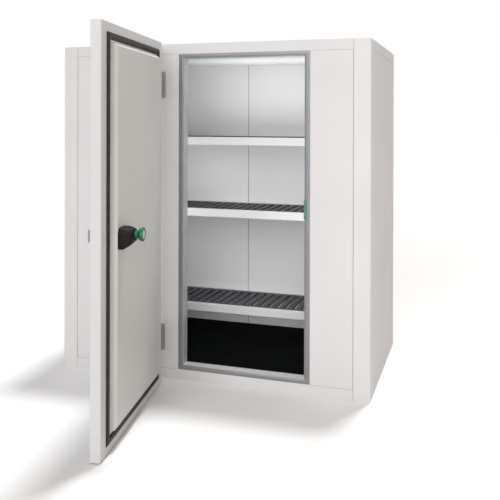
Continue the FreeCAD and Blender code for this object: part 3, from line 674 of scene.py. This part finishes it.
def camera():
    """The photograph's view: level, turned left, with its frame shifted down."""
    forward = Vector((-math.sin(YAW) * math.cos(PITCH), math.cos(YAW) * math.cos(PITCH), math.sin(PITCH)))
    right = Vector((math.cos(YAW), math.sin(YAW), 0))
    up = right.cross(forward)
    across = right * math.cos(ROLL) + up * math.sin(ROLL)
    upward = up * math.cos(ROLL) - right * math.sin(ROLL)
    data = bpy.data.cameras.new("camera")
    data.sensor_width = 36
    data.lens = FOCAL_PX / IMAGE * data.sensor_width
    data.shift_x = (IMAGE / 2 - CENTRE_X) / IMAGE
    data.shift_y = (CENTRE_Y - IMAGE / 2) / IMAGE
    data.clip_end = 200
    view = bpy.data.objects.new("camera", data)
    view.matrix_world = Matrix((
        (across.x, upward.x, -forward.x, EYE.x), (across.y, upward.y, -forward.y, EYE.y),
        (across.z, upward.z, -forward.z, EYE.z), (0, 0, 0, 1)))
    bpy.context.scene.collection.objects.link(view)
    bpy.context.scene.camera = view


# Light, floor and background

SKY_LIGHT = 0.37
SKY_WARM = (0.48, 0.34, 0.24)
# Sideways part of a direction at which the sky starts to turn warm, and at which it is warm
SKY_TURN = (-0.1, 0.8)
# Brightness of the floor for the light it throws back, and where it is seen
FLOOR_THROWN = 0.36
FLOOR_SHOWN = 0.98
WARM, AMBER, COOL = (1.0, 0.975, 0.97), (1.0, 0.50, 0.25), (0.96, 1.0, 0.99)


def sun(name, along, strength, softness, colour=(1, 1, 1)):
    """A distant lamp whose light travels along a direction."""
    data = bpy.data.lights.new(name, "SUN")
    data.energy = strength * math.pi
    data.angle = math.radians(softness)
    data.color = colour
    lamp = bpy.data.objects.new(name, data)
    lamp.rotation_euler = Vector(along).to_track_quat("-Z", "Y").to_euler()
    bpy.context.scene.collection.objects.link(lamp)


def area(name, place, target, size, power, colour=(1, 1, 1)):
    """A rectangular lamp that faces a target and that the camera doesn't see."""
    data = bpy.data.lights.new(name, "AREA")
    data.shape = "RECTANGLE"
    data.size, data.size_y = size
    data.energy = power
    data.color = colour
    lamp = bpy.data.objects.new(name, data)
    lamp.location = place
    lamp.rotation_euler = (Vector(target) - Vector(place)).to_track_quat("-Z", "Y").to_euler()
    lamp.visible_camera = False
    bpy.context.scene.collection.objects.link(lamp)


def seen_directly(tree):
    """1 for rays that show a background: from the camera, a mirror or clear glass."""
    path = tree.nodes.new("ShaderNodeLightPath")
    total = path.outputs["Is Camera Ray"]
    for other in ("Is Glossy Ray", "Is Transmission Ray"):
        node = tree.nodes.new("ShaderNodeMath")
        node.operation = "MAXIMUM"
        tree.links.new(total, node.inputs[0])
        tree.links.new(path.outputs[other], node.inputs[1])
        total = node.outputs[0]
    return total


def world():
    """A soft studio that is dim and warm towards +X, and plain white where it is seen."""
    sky = bpy.data.worlds.new("studio")
    bpy.context.scene.world = sky
    sky.use_nodes = True
    tree = sky.node_tree
    light = tree.nodes["Background"]
    light.inputs["Strength"].default_value = SKY_LIGHT
    split = tree.nodes.new("ShaderNodeSeparateXYZ")
    tree.links.new(tree.nodes.new("ShaderNodeTexCoord").outputs["Generated"], split.inputs[0])
    side = tree.nodes.new("ShaderNodeMapRange")
    side.inputs["From Min"].default_value = SKY_TURN[0]
    side.inputs["From Max"].default_value = SKY_TURN[1]
    tree.links.new(split.outputs["X"], side.inputs["Value"])
    mix = tree.nodes.new("ShaderNodeMix")
    mix.data_type = "RGBA"
    mix.inputs["A"].default_value = (1.0, 1.0, 1.0, 1)
    mix.inputs["B"].default_value = (*SKY_WARM, 1)
    tree.links.new(side.outputs[0], mix.inputs["Factor"])
    tree.links.new(mix.outputs["Result"], light.inputs["Color"])
    white = tree.nodes.new("ShaderNodeBackground")
    white.inputs["Color"].default_value = (1, 1, 1, 1)
    white.inputs["Strength"].default_value = 1.0
    both = tree.nodes.new("ShaderNodeMixShader")
    tree.links.new(seen_directly(tree), both.inputs[0])
    tree.links.new(light.outputs[0], both.inputs[1])
    tree.links.new(white.outputs[0], both.inputs[2])
    tree.links.new(both.outputs[0], tree.nodes["World Output"].inputs["Surface"])


def ground():
    """A pale floor, white to the camera where no shadow falls, just under the room."""
    mesh = bmesh.new()
    reach, drop = 60, 0.5 * MM
    corners = [mesh.verts.new((x, y, -drop)) for x, y in
               ((-reach, -reach), (reach, -reach), (reach, reach), (-reach, reach))]
    mesh.faces.new(corners)
    data = bpy.data.meshes.new("studio_floor")
    mesh.to_mesh(data)
    mesh.free()
    material = bpy.data.materials.new("studio floor")
    material.use_nodes = True
    tree = material.node_tree
    surface = tree.nodes["Principled BSDF"]
    surface.inputs["Roughness"].default_value = 1.0
    surface.inputs["Specular IOR Level"].default_value = 0.0
    mix = tree.nodes.new("ShaderNodeMix")
    mix.data_type = "RGBA"
    mix.inputs["A"].default_value = (*[FLOOR_THROWN] * 3, 1)
    mix.inputs["B"].default_value = (*[FLOOR_SHOWN] * 3, 1)
    tree.links.new(seen_directly(tree), mix.inputs["Factor"])
    tree.links.new(mix.outputs["Result"], surface.inputs["Base Color"])
    data.materials.append(material)
    floor = bpy.data.objects.new("studio_floor", data)
    bpy.context.scene.collection.objects.link(floor)


camera()
world()
ground()
sun("key", along=(-0.12, 0.93, -0.34), strength=0.51, softness=50, colour=WARM)
sun("top", along=(-0.06, -0.24, -0.97), strength=0.59, softness=8)
area("door_fill", place=(2.1, -1.9, 1.1), target=(-0.1, -1.0, 1.0), size=(1.2, 1.8), power=7.4)
area("side_fill", place=(3.4, 0.6, 1.3), target=(0.97, 0.1, 1.1), size=(2.0, 2.0), power=1.0,
     colour=AMBER)
area("lamp_left", place=(-0.62, -0.38, 1.08), target=(-0.35, 0.45, 1.04), size=(0.20, 0.66), power=2.0,
     colour=COOL)
area("lamp_right", place=(0.78, -0.38, 1.08), target=(0.45, 0.45, 1.04), size=(0.20, 0.66), power=2.0,
     colour=COOL)
area("ceiling_lamp", place=(0.2, 0.05, 1.60), target=(0.2, 0.13, 1.94), size=(0.9, 0.20), power=1.85,
     colour=COOL)

bpy.context.scene.view_settings.view_transform = "Standard"
